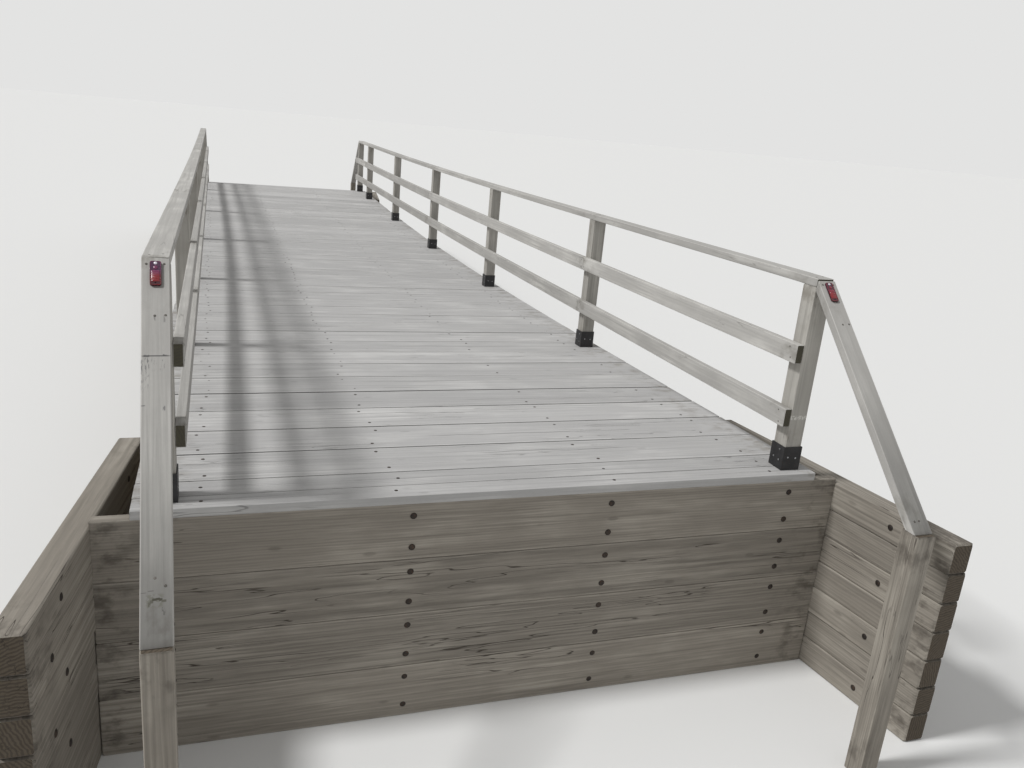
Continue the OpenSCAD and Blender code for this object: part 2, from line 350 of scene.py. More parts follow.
class Boards:
    """Gathers boards into one mesh, each with eased edges and its own wood coordinates and tone."""

    def __init__(self, name, seed):
        self.name = name
        self.random = random.Random(seed)
        self.points, self.faces, self.normals = [], [], []
        self.wood, self.place, self.board = [], [], []

    def section(self, width, thick, ease, corner_steps):
        """The outline of a board's cross section from -1 to 1, and which way each of its points faces."""
        ring = []
        for su, sv, nu, nv in round_corners(corner_steps):
            u = su * (1 - 2 * ease / width) + nu * 2 * ease / width
            v = sv * (1 - 2 * ease / thick) + nv * 2 * ease / thick
            ring.append((u, v, nu, nv))
        return ring

    def add(self, quads, ease=0.003, cup=0.0, steps=1, corner_steps=3, tone=None, end_ease=None, shut=()):
        """Adds a board. quads: its four corners (-u-v, +u-v, +u+v, -u+v) at places from one end to the other.
        shut: -1 or 1 for each side across that faces a neighbour; on the deck these sides get painted shade
        for the gap."""
        fine = between(quads, steps)
        centres = [sum(quad, Vector()) / 4 for quad in fine]
        runs = run_lengths(centres)
        total = runs[-1]
        across, through = fine[0][1] - fine[0][0], fine[0][3] - fine[0][0]
        along = (centres[-1] - centres[0]).normalized()
        width = (across - along * across.dot(along)).length
        thick = (through - along * through.dot(along)).length
        flip = across.cross(through).dot(along) < 0
        ring = self.section(width, thick, ease, corner_steps)
        end_ease = end_ease or ease * END_EASE_SHARE
        rows = eased_rows(fine, runs, end_ease)
        shift = Vector([even(self.random, reach) for reach in WOOD_SHIFT])
        shade = self.random.gauss(0, SHADE_SPREAD) if tone is None else tone
        look = (shade, self.random.random())
        start, count, sides = len(self.points), len(ring), []
        for run, quad, at_end in rows:
            ku = 1 - at_end * 2 * end_ease / width
            kv = 1 - at_end * 2 * end_ease / thick
            du = ((quad[1] - quad[0]) + (quad[2] - quad[3])).normalized()
            dv = ((quad[3] - quad[0]) + (quad[2] - quad[1])).normalized()
            for u, v, nu, nv in ring:
                u, v = u * ku, v * kv
                low = quad[0].lerp(quad[1], (u + 1) / 2)
                high = quad[3].lerp(quad[2], (u + 1) / 2)
                lift = cup * (u * u - 0.4)
                self.points.append(low.lerp(high, (v + 1) / 2) + dv * lift)
                self.wood.append(Vector((u * width / 2, run, v * thick / 2)) + shift)
                self.place.append(Vector((min(run, total - run), u, v)))
                sides.append((du * nu + dv * nv).normalized())
        self.add_sides(start, len(rows), ring, sides, flip, look, shut)
        self.add_end(start, count, not flip, look)
        self.add_end(start + (len(rows) - 1) * count, count, flip, look)

    def add_sides(self, start, levels, ring, normals, flip, look, shut):
        """The faces along a board, from each outline to the next."""
        count = len(ring)
        for level in range(levels - 1):
            low, high = level * count, (level + 1) * count
            for j in range(count):
                k = (j + 1) % count
                face = [low + j, low + k, high + k, high + j]
                if flip:
                    face.reverse()
                self.faces.append([start + i for i in face])
                self.normals += [normals[i] for i in face]
                facing = (ring[j][2] + ring[k][2]) / 2
                # A flat side that faces a neighbour is marked for painted shade in the gap.
                gap_shaded = round(facing) in shut and abs(facing) > FLAT_SIDE
                self.board.append((*look, SHUT_SIDE if gap_shaded else OPEN_SIDE))

    def add_end(self, first, count, reverse, look):
        """The flat face at an end of a board."""
        face = [first + j for j in range(count)]
        if reverse:
            face.reverse()
        a, b, c = (self.points[face[i]] for i in (0, count // 3, 2 * count // 3))
        self.faces.append(face)
        self.normals += [(b - a).cross(c - a).normalized()] * count
        self.board.append((*look, END_FACE))

    def done(self, material, slot, *replaced):
        """Makes the piece, with the values that the wood material reads."""
        mesh = smooth_mesh(self.name, self.points, self.faces)
        for name, domain, rows in (("wood", "POINT", self.wood), ("place", "POINT", self.place),
                                   ("board", "FACE", self.board)):
            layer = mesh.attributes.new(name, "FLOAT_VECTOR", domain)
            layer.data.foreach_set("vector", [c for row in rows for c in row])
        mesh.normals_split_custom_set(self.normals)
        piece(self.name, mesh, material, slot, *replaced)


def smooth_mesh(name, points, faces):
    """A new mesh with smooth faces."""
    mesh = bpy.data.meshes.new(name)
    mesh.from_pydata(points, [], faces)
    mesh.polygons.foreach_set("use_smooth", [True] * len(mesh.polygons))
    return mesh


def linked(name, data):
    """A new object in the scene."""
    made = bpy.data.objects.new(name, data)
    bpy.context.scene.collection.objects.link(made)
    return made


def piece(name, mesh, material, slot, *replaced):
    """Puts a mesh into the scene as a named piece that rides on the frame."""
    made = linked(name, mesh)
    mesh.materials.append(material)
    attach(made, "root")
    if replaced:
        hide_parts(*replaced)


# Screw and nail heads: radius, height of the wall and rise of the crown
NAIL_HEAD = (0.0078, 0.0012, 0.0004)
RAIL_SCREW_HEAD = (0.0042, 0.0008, 0.0004)
BRACE_SCREW_HEAD = (0.0045, 0.0008, 0.0004)
SLEEVE_SCREW_HEAD = (0.0045, 0.001, 0.0012)
RIVET_HEAD = (0.0056, 0.0012, 0.0018)
BOLT_HEAD = (0.014, 0.004, 0.003)
SUNK = 0.0003
SHARP_ANGLE = math.radians(50)


def free_mesh(name, points, faces, material, slot):
    """A piece from points and faces, smooth where its faces meet at a low angle."""
    mesh = smooth_mesh(name, points, faces)
    mesh.set_sharp_from_angle(angle=SHARP_ANGLE)
    piece(name, mesh, material, slot)


def skin(faces, start, levels, count, ring=False):
    """The faces between outlines, with two ends unless they close into a ring."""
    for level in range(levels if ring else levels - 1):
        a, b = start + level * count, start + (level + 1) % levels * count
        faces += [[a + i, a + (i + 1) % count, b + (i + 1) % count, b + i] for i in range(count)]
    if not ring:
        faces.append([start + (levels - 1) * count + i for i in range(count)])
        faces.append([start + i for i in reversed(range(count))])


def disc(points, faces, centre, normal, size, sides):
    """A low round head: a short wall, then rings that rise to the crown."""
    normal = Vector(normal).normalized()
    other = Vector((0, 0, 1)) if abs(normal.z) < 0.9 else Vector((1, 0, 0))
    u = normal.cross(other).normalized()
    v = normal.cross(u)
    start = len(points)
    radius, height, crown = size
    levels = [(radius, 0.0), (radius, height * 0.7), (radius * 0.93, height)]
    levels += [(radius * 0.6, height + crown * 0.65), (radius * 0.25, height + crown)]
    for r, h in levels:
        for i in range(sides):
            angle = 2 * math.pi * i / sides
            points.append(Vector(centre) + u * (r * math.cos(angle)) + v * (r * math.sin(angle)) + normal * h)
    skin(faces, start, len(levels), sides)


def heads(name, places, size, material, sides):
    """Many heads as one piece. places: the centre and the direction of each."""
    points, faces = [], []
    for centre, normal in places:
        disc(points, faces, centre, normal, size, sides)
    free_mesh(name, points, faces, material, "post_base_steel")


# Reading the frame

def solids(node):
    """The corner points of each solid in a node, in order along the bridge and then across it."""
    mesh = NODES[node].data
    key = {}
    index = [key.setdefault(tuple(round(c, 5) for c in v.co), len(key)) for v in mesh.vertices]
    points = [Vector(k) for k in key]
    parent = list(range(len(points)))

    def root(i):
        while parent[i] != i:
            parent[i] = parent[parent[i]]
            i = parent[i]
        return i
    for edge in mesh.edges:
        a, b = (root(index[i]) for i in edge.vertices)
        parent[a] = b
    groups = {}
    for i, p in enumerate(points):
        groups.setdefault(root(i), []).append(p)
    made = list(groups.values())
    made.sort(key=lambda g: (round(sum(p.y for p in g) / len(g), 2), sum(p.x for p in g) / len(g)))
    return made


def corners(points):
    """The lowest and the highest corner of the box round some points."""
    return [Vector([pick(p[i] for p in points) for i in range(3)]) for pick in (min, max)]


def boxes(node):
    """The corners of the box round each solid in a node."""
    return [corners(points) for points in solids(node)]


def sections(points):
    """The corners of a long solid at each of its stations along the bridge: (y, x0, x1, z0, z1)."""
    rows = {}
    for p in points:
        rows.setdefault(round(p.y, 4), []).append(p)
    made = []
    for y, group in sorted(rows.items()):
        if len(group) >= 4:
            xs, zs = [p.x for p in group], [p.z for p in group]
            made.append((y, min(xs), max(xs), min(zs), max(zs)))
    return made


def along_y(rows, low=0.0, high=1.0):
    """Board corners along the bridge, for a share of the sections' height from low to high."""
    quads = []
    for y, x0, x1, z0, z1 in rows:
        za, zb = z0 + (z1 - z0) * low, z0 + (z1 - z0) * high
        quads.append([(x0, y, za), (x1, y, za), (x1, y, zb), (x0, y, zb)])
    return quads


def box_quads(lo, hi, axis):
    """The two ends of a box whose grain runs along x or z."""
    x0, y0, z0 = lo
    x1, y1, z1 = hi
    if axis == "z":
        return [[(x0, y0, z), (x1, y0, z), (x1, y1, z), (x0, y1, z)] for z in (z0, z1)]
    return [[(x, y0, z0), (x, y1, z0), (x, y1, z1), (x, y0, z1)] for x in (x0, x1)]


def deck_line():
    """Reads the deck's top and gives a function for its height at a place along the bridge."""
    heights = {}
    for bay in BAYS:
        for v in NODES[bay].data.vertices:
            y = round(v.co.y, 4)
            heights[y] = max(heights.get(y, -1), v.co.z)
    rows = sorted(heights.items())

    def at(y):
        y = min(max(y, rows[0][0]), rows[-1][0])
        for (ya, za), (yb, zb) in zip(rows, rows[1:]):
            if y <= yb:
                return za + (zb - za) * (y - ya) / (yb - ya)
    return at


deck_top = deck_line()


# Materials: base, worn, dark and end colour of each wood
DECK = wood("deck_boards", linear(171, 170, 169), linear(194, 193, 191), linear(56, 54, 51),
            linear(112, 109, 101), streaks=0.1, checks=0.5, rings=0.03, dirt=linear(122, 115, 104),
            mid_checks=0.85, knots=0.35)
STAIN = (linear(166, 164, 160), linear(194, 192, 187), linear(66, 62, 55), linear(74, 71, 58))
STAIN_LOOK = {"streaks": 0.07, "checks": 0.35, "rings": 0.03, "dirt": linear(124, 120, 112), "knots": 0.2}
RAIL = wood("railing_boards", *STAIN, **STAIN_LOOK)
# The posts' colours are the rails' stain made a little darker and browner: partly painted shade, for the deep
# shade on their near faces.
POST_STAIN_AND_SHADE = (linear(156, 153, 147), linear(186, 183, 176), linear(60, 55, 47), linear(74, 69, 56))
POST_LOOK = {"streaks": 0.09, "checks": 0.45, "rings": 0.04, "dirt": linear(114, 107, 96), "knots": 0.25}
POST = wood("railing_posts", *POST_STAIN_AND_SHADE, **POST_LOOK)
GRIME, SMUDGE, DRIP = linear(120, 119, 118), linear(92, 91, 90), linear(136, 134, 131)
MUD, PALE_MUD, CHALK = linear(100, 98, 88), linear(124, 122, 112), linear(206, 204, 198)
# Marks on the near-left brace: x from and to, z from and to, colour, noise stretch, share covered
BRACE_MARK_ROWS = (
    (-1.405, -1.325, 1.6852, 1.6884, linear(98, 97, 96), (20, 20, 20), 1.6),
    (-1.405, -1.386, 1.684, 1.6895, SMUDGE, (130, 30, 130), 0.55),
    (-1.346, -1.334, 1.6862, 1.6905, SMUDGE, (130, 30, 130), 0.7),
    (-1.416, -1.384, 1.6, 1.684, GRIME, (330, 42, 42), 0.26),
    (-1.38, -1.34, 1.65, 1.684, GRIME, (200, 40, 40), 0.12),
    (-1.405, -1.388, 1.5605, 1.5635, GRIME, (90, 40, 90), 0.55),
    (-1.3425, -1.3355, 1.549, 1.564, GRIME, (200, 50, 50), 0.55),
    (-1.3755, -1.37, 1.78, 1.796, DRIP, (160, 60, 60), 0.8),
    (-1.3455, -1.3395, 1.776, 1.796, DRIP, (160, 60, 60), 0.8),
    (-1.391, -1.377, 1.1477, 1.1493, DRIP, (60, 60, 60), 0.9),
    (-1.373, -1.357, 1.1503, 1.1521, DRIP, (60, 60, 60), 0.9),
    (-1.376, -1.332, 1.118, 1.144, linear(148, 147, 138), (90, 60, 90), 0.5),
    (-1.3715, -1.364, 1.1195, 1.129, PALE_MUD, (120, 60, 120), 0.8),
    (-1.367, -1.358, 1.1265, 1.133, PALE_MUD, (120, 60, 120), 1.0),
    (-1.361, -1.349, 1.1308, 1.1358, MUD, (120, 40, 120), 1.0),
    (-1.351, -1.34, 1.1318, 1.1365, MUD, (60, 40, 60), 1.3),
    (-1.343, -1.334, 1.1298, 1.135, MUD, (60, 40, 60), 1.3),
    (-1.337, -1.324, 1.127, 1.1318, PALE_MUD, (120, 40, 120), 1.0),
    (-1.3355, -1.33, 1.1085, 1.1175, DRIP, (150, 50, 50), 0.7),
    (-1.3315, -1.326, 1.101, 1.11, DRIP, (150, 50, 50), 0.7),
)
# The near-left brace lies between these places along y
MARK_FROM, MARK_TO = -9, -5
BRACE_MARKS = [((x0, MARK_FROM, z0), (x1, MARK_TO, z1), *rest) for x0, x1, z0, z1, *rest in BRACE_MARK_ROWS]
MARKED_BRACE = wood("marked_brace", *STAIN, **STAIN_LOOK, marks=BRACE_MARKS)
POST_MARKS = (((1.31, -6.70, 1.296), (1.43, -6.66, 1.316), CHALK, (160, 160, 130), 0.5),)
MARKED_POST = wood("marked_posts", *POST_STAIN_AND_SHADE, **POST_LOOK, marks=POST_MARKS)
BEAM = wood("beam_laminations", linear(122, 109, 91), linear(144, 131, 112), linear(60, 50, 40),
            linear(94, 80, 64), streaks=0.22, checks=0.7, rings=0.16)
BANK = wood("rough_timber", linear(131, 125, 116), linear(158, 152, 142), linear(56, 49, 42),
            linear(90, 81, 69), streaks=0.26, checks=1.0, rings=0.16, bumps=1.8)
NODE_COLOURS = (linear(146, 142, 134), linear(176, 172, 163), linear(60, 55, 48), linear(78, 72, 60))
NODE_WOOD = {axis: wood("solid_wood_" + axis, *NODE_COLOURS, grain=axis, streaks=0.12) for axis in "xyz"}
STEEL = metal("black_steel", linear(20, 20, 22), linear(36, 36, 38), 0.5, 0.0, 0.25)
SCREW = metal("galvanised_screws", linear(168, 170, 172), linear(120, 120, 120), 0.35, 1.0, 0.3)
DARK_HEAD = metal("dark_nail_heads", linear(50, 46, 43), linear(70, 60, 52), 0.6, 0.6, 0.8)
STAINED_HEAD = metal("stained_screw_heads", linear(86, 83, 78), linear(116, 113, 107), 0.7, 0.2, 0.3)
# The rivets' near-white colour is partly a painted highlight, for the glint on their domes.
RIVET = metal("bright_rivets", linear(236, 233, 240), linear(212, 208, 216), 0.3, 0.15)
# The third colour of each is a painted purple sky reflection.
RED = reflector_plastic("reflector_red", linear(92, 10, 18), linear(158, 24, 34), linear(108, 44, 92))
DEEP_RED = reflector_plastic("reflector_deep_red", linear(44, 8, 18), linear(78, 14, 30), linear(66, 30, 70))


def dress_nodes():
    """Gives every solid of the frame its material, also those that a piece replaces."""
    for name, node in NODES.items():
        if name.endswith("post_bases"):
            material = STEEL
        elif name.startswith("reflector"):
            material = DEEP_RED
        elif "post" in name or "stake" in name:
            material = NODE_WOOD["z"]
        elif name.startswith("deck") or "wall" in name and "wing" not in name:
            material = NODE_WOOD["x"]
        else:
            material = NODE_WOOD["y"]
        node.data.materials.clear()
        node.data.materials.append(material)


# Deck: the near and far edge of each narrow board at the near end, then wide boards of one size
NARROW_BOARDS = ((0.0, 0.106), (0.106, 0.243))
WIDE_BOARDS = 44
NARROW_GAP, BOARD_GAP = 0.004, 0.012
BOARD_T, BOARD_DROP, BOARD_STEPS = 0.038, 0.0005, 12
DECK_EASE = 0.0035
GAP_SPREAD, SKEW_SPREAD, LENGTH_SPREAD = 0.0015, 0.0015, 0.002
SAG_RANGE, CUP_RANGE, FULL_CUP_WIDTH = (-0.0004, 0.0003), (-0.0012, 0.0016), 0.25
AT_END = 0.001
NAIL_ROWS = (-1.255, -0.485, 0.465, 1.245)
NAIL_FROM_EDGE, TWO_NAILS_FROM = 0.056, 0.2
NAIL_SPREAD, NAIL_SUNK = (0.03, 0.008), 0.0012


def deck_board_edges():
    """The near and far edge of each deck board, and the width of its gaps."""
    near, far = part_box(BAYS[0])[0].y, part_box(BAYS[-1])[1].y
    edges = [(near + a, near + b, NARROW_GAP) for a, b in NARROW_BOARDS]
    first = near + NARROW_BOARDS[-1][1]
    pitch = (far - first) / WIDE_BOARDS
    edges += [(first + pitch * k, first + pitch * (k + 1), BOARD_GAP) for k in range(WIDE_BOARDS)]
    return edges


def deck_board_quads(left, right, near, far, skew, sag):
    """Corners along a deck board, a little out of square and bowed."""
    za, zb = deck_top(near) - BOARD_DROP, deck_top(far) - BOARD_DROP
    quads = []
    for i in range(BOARD_STEPS + 1):
        share = i / BOARD_STEPS
        x = left + (right - left) * share
        turn = skew * (share - 0.5) * 2
        bow = sag * math.sin(math.pi * share * 2)
        quads.append([(x, near + turn, za - BOARD_T + bow), (x, far + turn, zb - BOARD_T + bow),
                      (x, far + turn, zb + bow), (x, near + turn, za + bow)])
    return quads


def deck_boards():
    """The deck's cross boards, each a little uneven, in one piece for each bay."""
    draw = random.Random(SEEDS["deck"])
    low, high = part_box(BAYS[0])
    bay_ends = [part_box(bay)[1].y for bay in BAYS]
    bays = [Boards("deck_boards_%d" % (k + 1), SEEDS["boards"] + k) for k in range(len(BAYS))]
    for near, far, gap in deck_board_edges():
        middle = (near + far) / 2
        gap_near, gap_far = (gap / 2 + even(draw, GAP_SPREAD) for _ in range(2))
        # Sides that face a neighbour get painted shade for the gap; the outer sides of the first and last
        # board do not.
        shut = {-1, 1}
        if near < low.y + AT_END:
            gap_near, shut = 0.0, {1}
        if far > bay_ends[-1] - AT_END:
            gap_far, shut = 0.0, {-1}
        near, far = near + gap_near, far - gap_far
        skew = even(draw, SKEW_SPREAD)
        left = low.x + abs(draw.gauss(0, LENGTH_SPREAD))
        right = high.x - abs(draw.gauss(0, LENGTH_SPREAD))
        sag = draw.uniform(*SAG_RANGE)
        cup = draw.uniform(*CUP_RANGE) * min(1, (far - near) / FULL_CUP_WIDTH)
        bay = sum(middle > end for end in bay_ends)
        quads = deck_board_quads(left, right, near, far, skew, sag)
        bays[bay].add(quads, ease=DECK_EASE, cup=cup, shut=shut)
    for boards, bay in zip(bays, BAYS):
        boards.done(DECK, "deck_boards", bay)


def deck_nails():
    """Nail heads in four rows, two in a wide board and one in a narrow board."""
    draw = random.Random(SEEDS["nails"])
    places = []
    for near, far, _ in deck_board_edges():
        width = far - near
        offsets = (NAIL_FROM_EDGE, width - NAIL_FROM_EDGE) if width > TWO_NAILS_FROM else (width / 2,)
        for x in NAIL_ROWS:
            for offset in offsets:
                y = near + offset + even(draw, NAIL_SPREAD[1])
                places.append(((x + even(draw, NAIL_SPREAD[0]), y, deck_top(y) - NAIL_SUNK), (0, 0, 1)))
    heads("deck_nail_heads", places, NAIL_HEAD, DARK_HEAD, 12)


# Railings
RAIL_EASE, BRACE_END_EASE, STAKE_EASE = 0.004, 0.0035, 0.005
LOW_START = 0.008


def name_seed(*words):
    """A seed that follows from a name."""
    return sum((i + 3) * ord(c) for i, c in enumerate("".join(words)))


def posts():
    """The posts of both railings. The near-right one has light scuffs."""
    for side, sign in SIDES.items():
        boards = Boards(side + "_railing_posts", SEEDS["posts"] + sign)
        for lo, hi in boxes(side + "_posts"):
            boards.add(box_quads(lo, hi, "z"), ease=RAIL_EASE, steps=6, corner_steps=4)
        boards.done(MARKED_POST if side == "right" else POST, "railing_boards", side + "_posts")


def rails():
    """The cap, middle and low rail of both railings, along their sag."""
    for side in SIDES:
        for part in ("cap", "mid", "low"):
            node = "%s_%s_rail" % (side, part)
            boards = Boards(node + "_boards", name_seed(side, part))
            for points in solids(node):
                boards.add(along_y(sections(points)), ease=RAIL_EASE, corner_steps=4)
            boards.done(RAIL, "railing_boards", node)


def sloping(points):
    """The corners of a brace at its top and at its foot, the underside first."""
    points = sorted(points, key=lambda p: abs(p.y))
    half = len(points) // 2
    quads = []
    for group in (points[:half], points[half:]):
        by_depth = sorted(group, key=lambda p: p.z + abs(p.y))
        low, high = (sorted(pair, key=lambda p: p.x) for pair in (by_depth[:2], by_depth[2:]))
        quads.append([low[0], low[1], high[1], high[0]])
    return quads


def braces():
    """The end braces. The upper edge of the right ones starts a little below the top of the cap."""
    for end, side in CORNERS:
        name = "end_brace_%s_%s" % (end, side)
        boards = Boards(name + "_board", name_seed(end, side))
        for points in solids(name):
            quads = sloping(points)
            if side == "right":
                slope = (quads[1][2] - quads[0][2]).normalized()
                quads[0][2:] = [corner + slope * LOW_START for corner in quads[0][2:]]
            boards.add(quads, ease=RAIL_EASE, steps=8, corner_steps=4, end_ease=BRACE_END_EASE)
        marked = (end, side) == ("near", "left")
        boards.done(MARKED_BRACE if marked else RAIL, "railing_boards", name)


def upright(points):
    """The corners of a straight post at its foot and top, in order round its plan."""
    lo, hi = corners(points)
    middle = (lo + hi) / 2
    foot = [p for p in points if p.z < middle.z]
    foot.sort(key=lambda p: math.atan2(p.y - middle.y, p.x - middle.x))
    return [[(p.x, p.y, z) for p in foot] for z in (lo.z, hi.z)]


def stakes():
    """The stakes under the feet of the braces."""
    boards = Boards("brace_stake_posts", SEEDS["stakes"])
    for points in solids("brace_stakes"):
        boards.add(upright(points), ease=STAKE_EASE, steps=4)
    boards.done(BANK, "bank_timber", "brace_stakes")


# Fasteners, sleeves and reflectors
JOINT_POSTS, JOINT_SLACK = (1, 3, 5), 0.01
SCREW_STEP, SCREW_SPREAD = 0.024, 0.004
SCREW_SLANT = 0.008


def rail_at(node, y):
    """The sides and heights of a rail at a place along the bridge: x0, x1, z0, z1."""
    found = None
    for points in solids(node):
        rows = sections(points)
        for a, b in zip(rows, rows[1:]):
            if a[0] - JOINT_SLACK <= y <= b[0] + JOINT_SLACK:
                share = min(max((y - a[0]) / (b[0] - a[0]), 0), 1)
                found = [a[i] + (b[i] - a[i]) * share for i in range(1, 5)]
    return found


def rail_crossings():
    """Each place where a rail is screwed to a post: side, rail, place along and slant of the pair."""
    for side in SIDES:
        for i, (lo, hi) in enumerate(boxes(side + "_posts")):
            steps, slant = ((-SCREW_STEP, SCREW_STEP), 0.0) if i in JOINT_POSTS else ((0.0,), SCREW_SLANT)
            for part in ("mid", "low", "cap"):
                for step in steps:
                    yield side, part, (lo.y + hi.y) / 2 + step, slant


def rail_screws():
    """Two screws in each rail at each post, and a pair on both sides of a joint."""
    draw = random.Random(SEEDS["screws"])
    places = []
    for side, part, y, slant in rail_crossings():
        sign = SIDES[side]
        x0, x1, z0, z1 = rail_at("%s_%s_rail" % (side, part), y)
        for way in (-1, 1):
            jog = even(draw, SCREW_SPREAD) + slant * way
            spread = even(draw, SCREW_SPREAD) + SCREW_STEP * way
            if part == "cap":
                places.append((((x0 + x1) / 2 + spread, y + jog, z1 - SUNK), (0, 0, 1)))
            else:
                inner = (x0 if sign > 0 else x1) + sign * SUNK
                places.append(((inner, y + jog, (z0 + z1) / 2 + spread), (-sign, 0, 0)))
    heads("rail_screw_heads", places, RAIL_SCREW_HEAD, STAINED_HEAD, 10)


def brace_frame(end, side):
    """The upper face of a brace: middle of its top edge, unit vectors across, down and out, and length."""
    top, foot = sloping(solids("end_brace_%s_%s" % (end, side))[0])
    outer = 2 if side == "right" else 3
    edge, reach = foot[2] - foot[3], foot[outer] - top[outer]
    across, down = edge.normalized(), reach.normalized()
    out = across.cross(down)
    if out.z < 0:
        out = -out
    start = top[outer] + across * -SIDES[side] * edge.length / 2
    return start, across, down, out, reach.length


# Screws of a brace: place across from its middle, and distance from its top or from its foot
BRACE_TOP_SCREWS = ((-0.029, 0.032), (0.027, 0.031), (-0.003, 0.236), (0.030, 0.234))
BRACE_FOOT_SCREWS = {"left": ((-0.0045, 0.199), (0.0236, 0.174)), "right": ((-0.020, 0.056), (0.002, 0.058))}


def brace_screws():
    """The screws near the top and the foot of each brace."""
    places = []
    for end, side in CORNERS:
        start, across, down, out, length = brace_frame(end, side)
        spots = list(BRACE_TOP_SCREWS)
        spots += [(u, length - d) for u, d in BRACE_FOOT_SCREWS[side]]
        places += [(start + across * u + down * d - out * SUNK, out) for u, d in spots]
    heads("brace_screw_heads", places, BRACE_SCREW_HEAD, STAINED_HEAD, 10)


# Reflectors: sizes are width, length and corner radius, and steps are inset and height over the plate
PLATE, PLATE_T = (0.036, 0.096, 0.007), 0.007
RIM_STEPS = ((0.0004, -0.0008), (0.001, 0.0008), (0.0022, 0.0008), (0.0028, -0.0008))
LENS, LENS_DOWN = (0.027, 0.046, 0.004), 0.012
LENS_STEPS = ((0, -0.0006), (0, 0.0004), (0.0008, 0.0012))
BAR, BARS, BAR_PITCH = (0.023, 0.0055, 0.0012), 5, 0.0085
BAR_STEPS = ((0, 0.0008), (0, 0.0014), (0.0012, 0.0019))
ROUND_LENS, ROUND_LENS_UP = (0.0072, 0.0012, 0.0016), 0.0215
MIN_RADIUS = 0.0006


def rounded_outline(size, inset):
    """Corner points of a rectangle with round corners, drawn in from its edge by the inset."""
    width, length, radius = size
    w, h, r = width / 2 - inset, length / 2 - inset, max(radius - inset, MIN_RADIUS)
    return [(su * (w - r) + r * nu, sv * (h - r) + r * nv) for su, sv, nu, nv in round_corners(5)]


def layered(points, faces, origin, axes, size, steps, ring=False):
    """Joins outlines at their heights into a solid, or into a ring that has no ends."""
    u, v, n = axes
    start = len(points)
    for inset, height in steps:
        points += [origin + u * a + v * b + n * height for a, b in rounded_outline(size, inset)]
    skin(faces, start, len(steps), (len(points) - start) // len(steps), ring)


def reflectors():
    """A raised rim, a round lens, a lower lens with bars and a bright rivet on each reflector."""
    rivets = []
    for end, side in CORNERS:
        node = "reflector_%s_%s" % (end, side)
        lo, hi = corners([v.co for v in NODES[node].data.vertices])
        _, across, down, out, _ = brace_frame(end, side)
        middle = (lo + hi) / 2 + out * PLATE_T / 2
        if across.cross(down).dot(out) < 0:
            across = -across
        axes = (across, down, out)
        points, faces = [], []
        layered(points, faces, middle, axes, PLATE, RIM_STEPS, ring=True)
        lens = middle + down * LENS_DOWN
        layered(points, faces, lens, axes, LENS, LENS_STEPS)
        for k in range(BARS):
            bar = lens + down * (BAR_PITCH * (k - BARS // 2))
            layered(points, faces, bar, axes, BAR, BAR_STEPS)
        disc(points, faces, middle - down * ROUND_LENS_UP, out, ROUND_LENS, 20)
        free_mesh(node + "_lens", points, faces, RED, "reflector_plastic")
        rivets.append((middle - down * (PLATE[1] / 2 - PLATE[0] / 4), out))
    heads("reflector_screw_heads", rivets, RIVET_HEAD, RIVET, 18)


# Screws of a sleeve's side and end faces: place across from the middle, and height over its foot
SLEEVE_SIDE_SCREWS = ((0.017, 0.094), (-0.024, 0.046), (0.021, 0.041))
SLEEVE_END_SCREWS = ((-0.02, 0.062), (0.022, 0.06))
SLEEVE_SPREAD = 0.003
SLEEVE_EASE = 0.0012


def sleeve_screws(lo, hi, draw):
    """Places for the screws in the four faces of a sleeve."""
    middle, half = (lo + hi) / 2, (hi.x - lo.x) / 2
    places = []
    for normal in ((1, 0, 0), (-1, 0, 0), (0, 1, 0), (0, -1, 0)):
        n = Vector(normal)
        u = Vector((-n.y, n.x, 0))
        for a, b in SLEEVE_SIDE_SCREWS if n.x else SLEEVE_END_SCREWS:
            a += even(draw, SLEEVE_SPREAD)
            b += even(draw, SLEEVE_SPREAD)
            centre = Vector((middle.x, middle.y, lo.z + b)) + n * (half - SUNK) + u * a
            places.append((centre, n))
    return places


def sleeves():
    """Bevels the steel sleeves and gives their faces the small bright screws."""
    draw = random.Random(SEEDS["sleeves"])
    places = []
    for side in SIDES:
        node = side + "_post_bases"
        bevel = NODES[node].modifiers.new("eased_edges", "BEVEL")
        bevel.width = SLEEVE_EASE
        bevel.segments = 2
        bevel.limit_method = "ANGLE"
        for lo, hi in boxes(node):
            places += sleeve_screws(lo, hi, draw)
    heads("sleeve_screw_heads", places, SLEEVE_SCREW_HEAD, SCREW, 12)


# Beams and walls
BEAMS, LAMINATIONS = 4, 12
LAMINATION_EASE, BLOCK_EASE = 0.0016, 0.003
BEAM_TONE, WALL_TONE = 1.3, 1.2
# Courses of a wall, ease of their edges, and how far they lie out of line
BEARING_COURSES = (3, 0.007, 0.003)
HEADWALL_COURSES = (4, 0.005, 0.002)
WING_COURSES = (7, 0.009, 0.004)
HEADWALL_BOLTS = (-1.36, -0.44, 0.44, 1.36)
BOLT_LIFT, BOLT_SUNK = 0.07, 0.0025
WING_BOLT_SHARES, WING_BOLT_SUNK = ((0.2, 0.8), (0.12, 0.88)), 0.001


def beams():
    """The glued beams, layer by layer."""
    for k in range(1, BEAMS + 1):
        node = "main_beam_%d" % k
        boards = Boards(node + "_laminations", SEEDS["beams"] + k)
        for points in solids(node):
            for i in range(LAMINATIONS):
                quads = along_y(sections(points), i / LAMINATIONS, (i + 1) / LAMINATIONS)
                tone = even(boards.random, BEAM_TONE)
                boards.add(quads, ease=LAMINATION_EASE, corner_steps=2, tone=tone)
        boards.done(BEAM, "beam_timber", node)


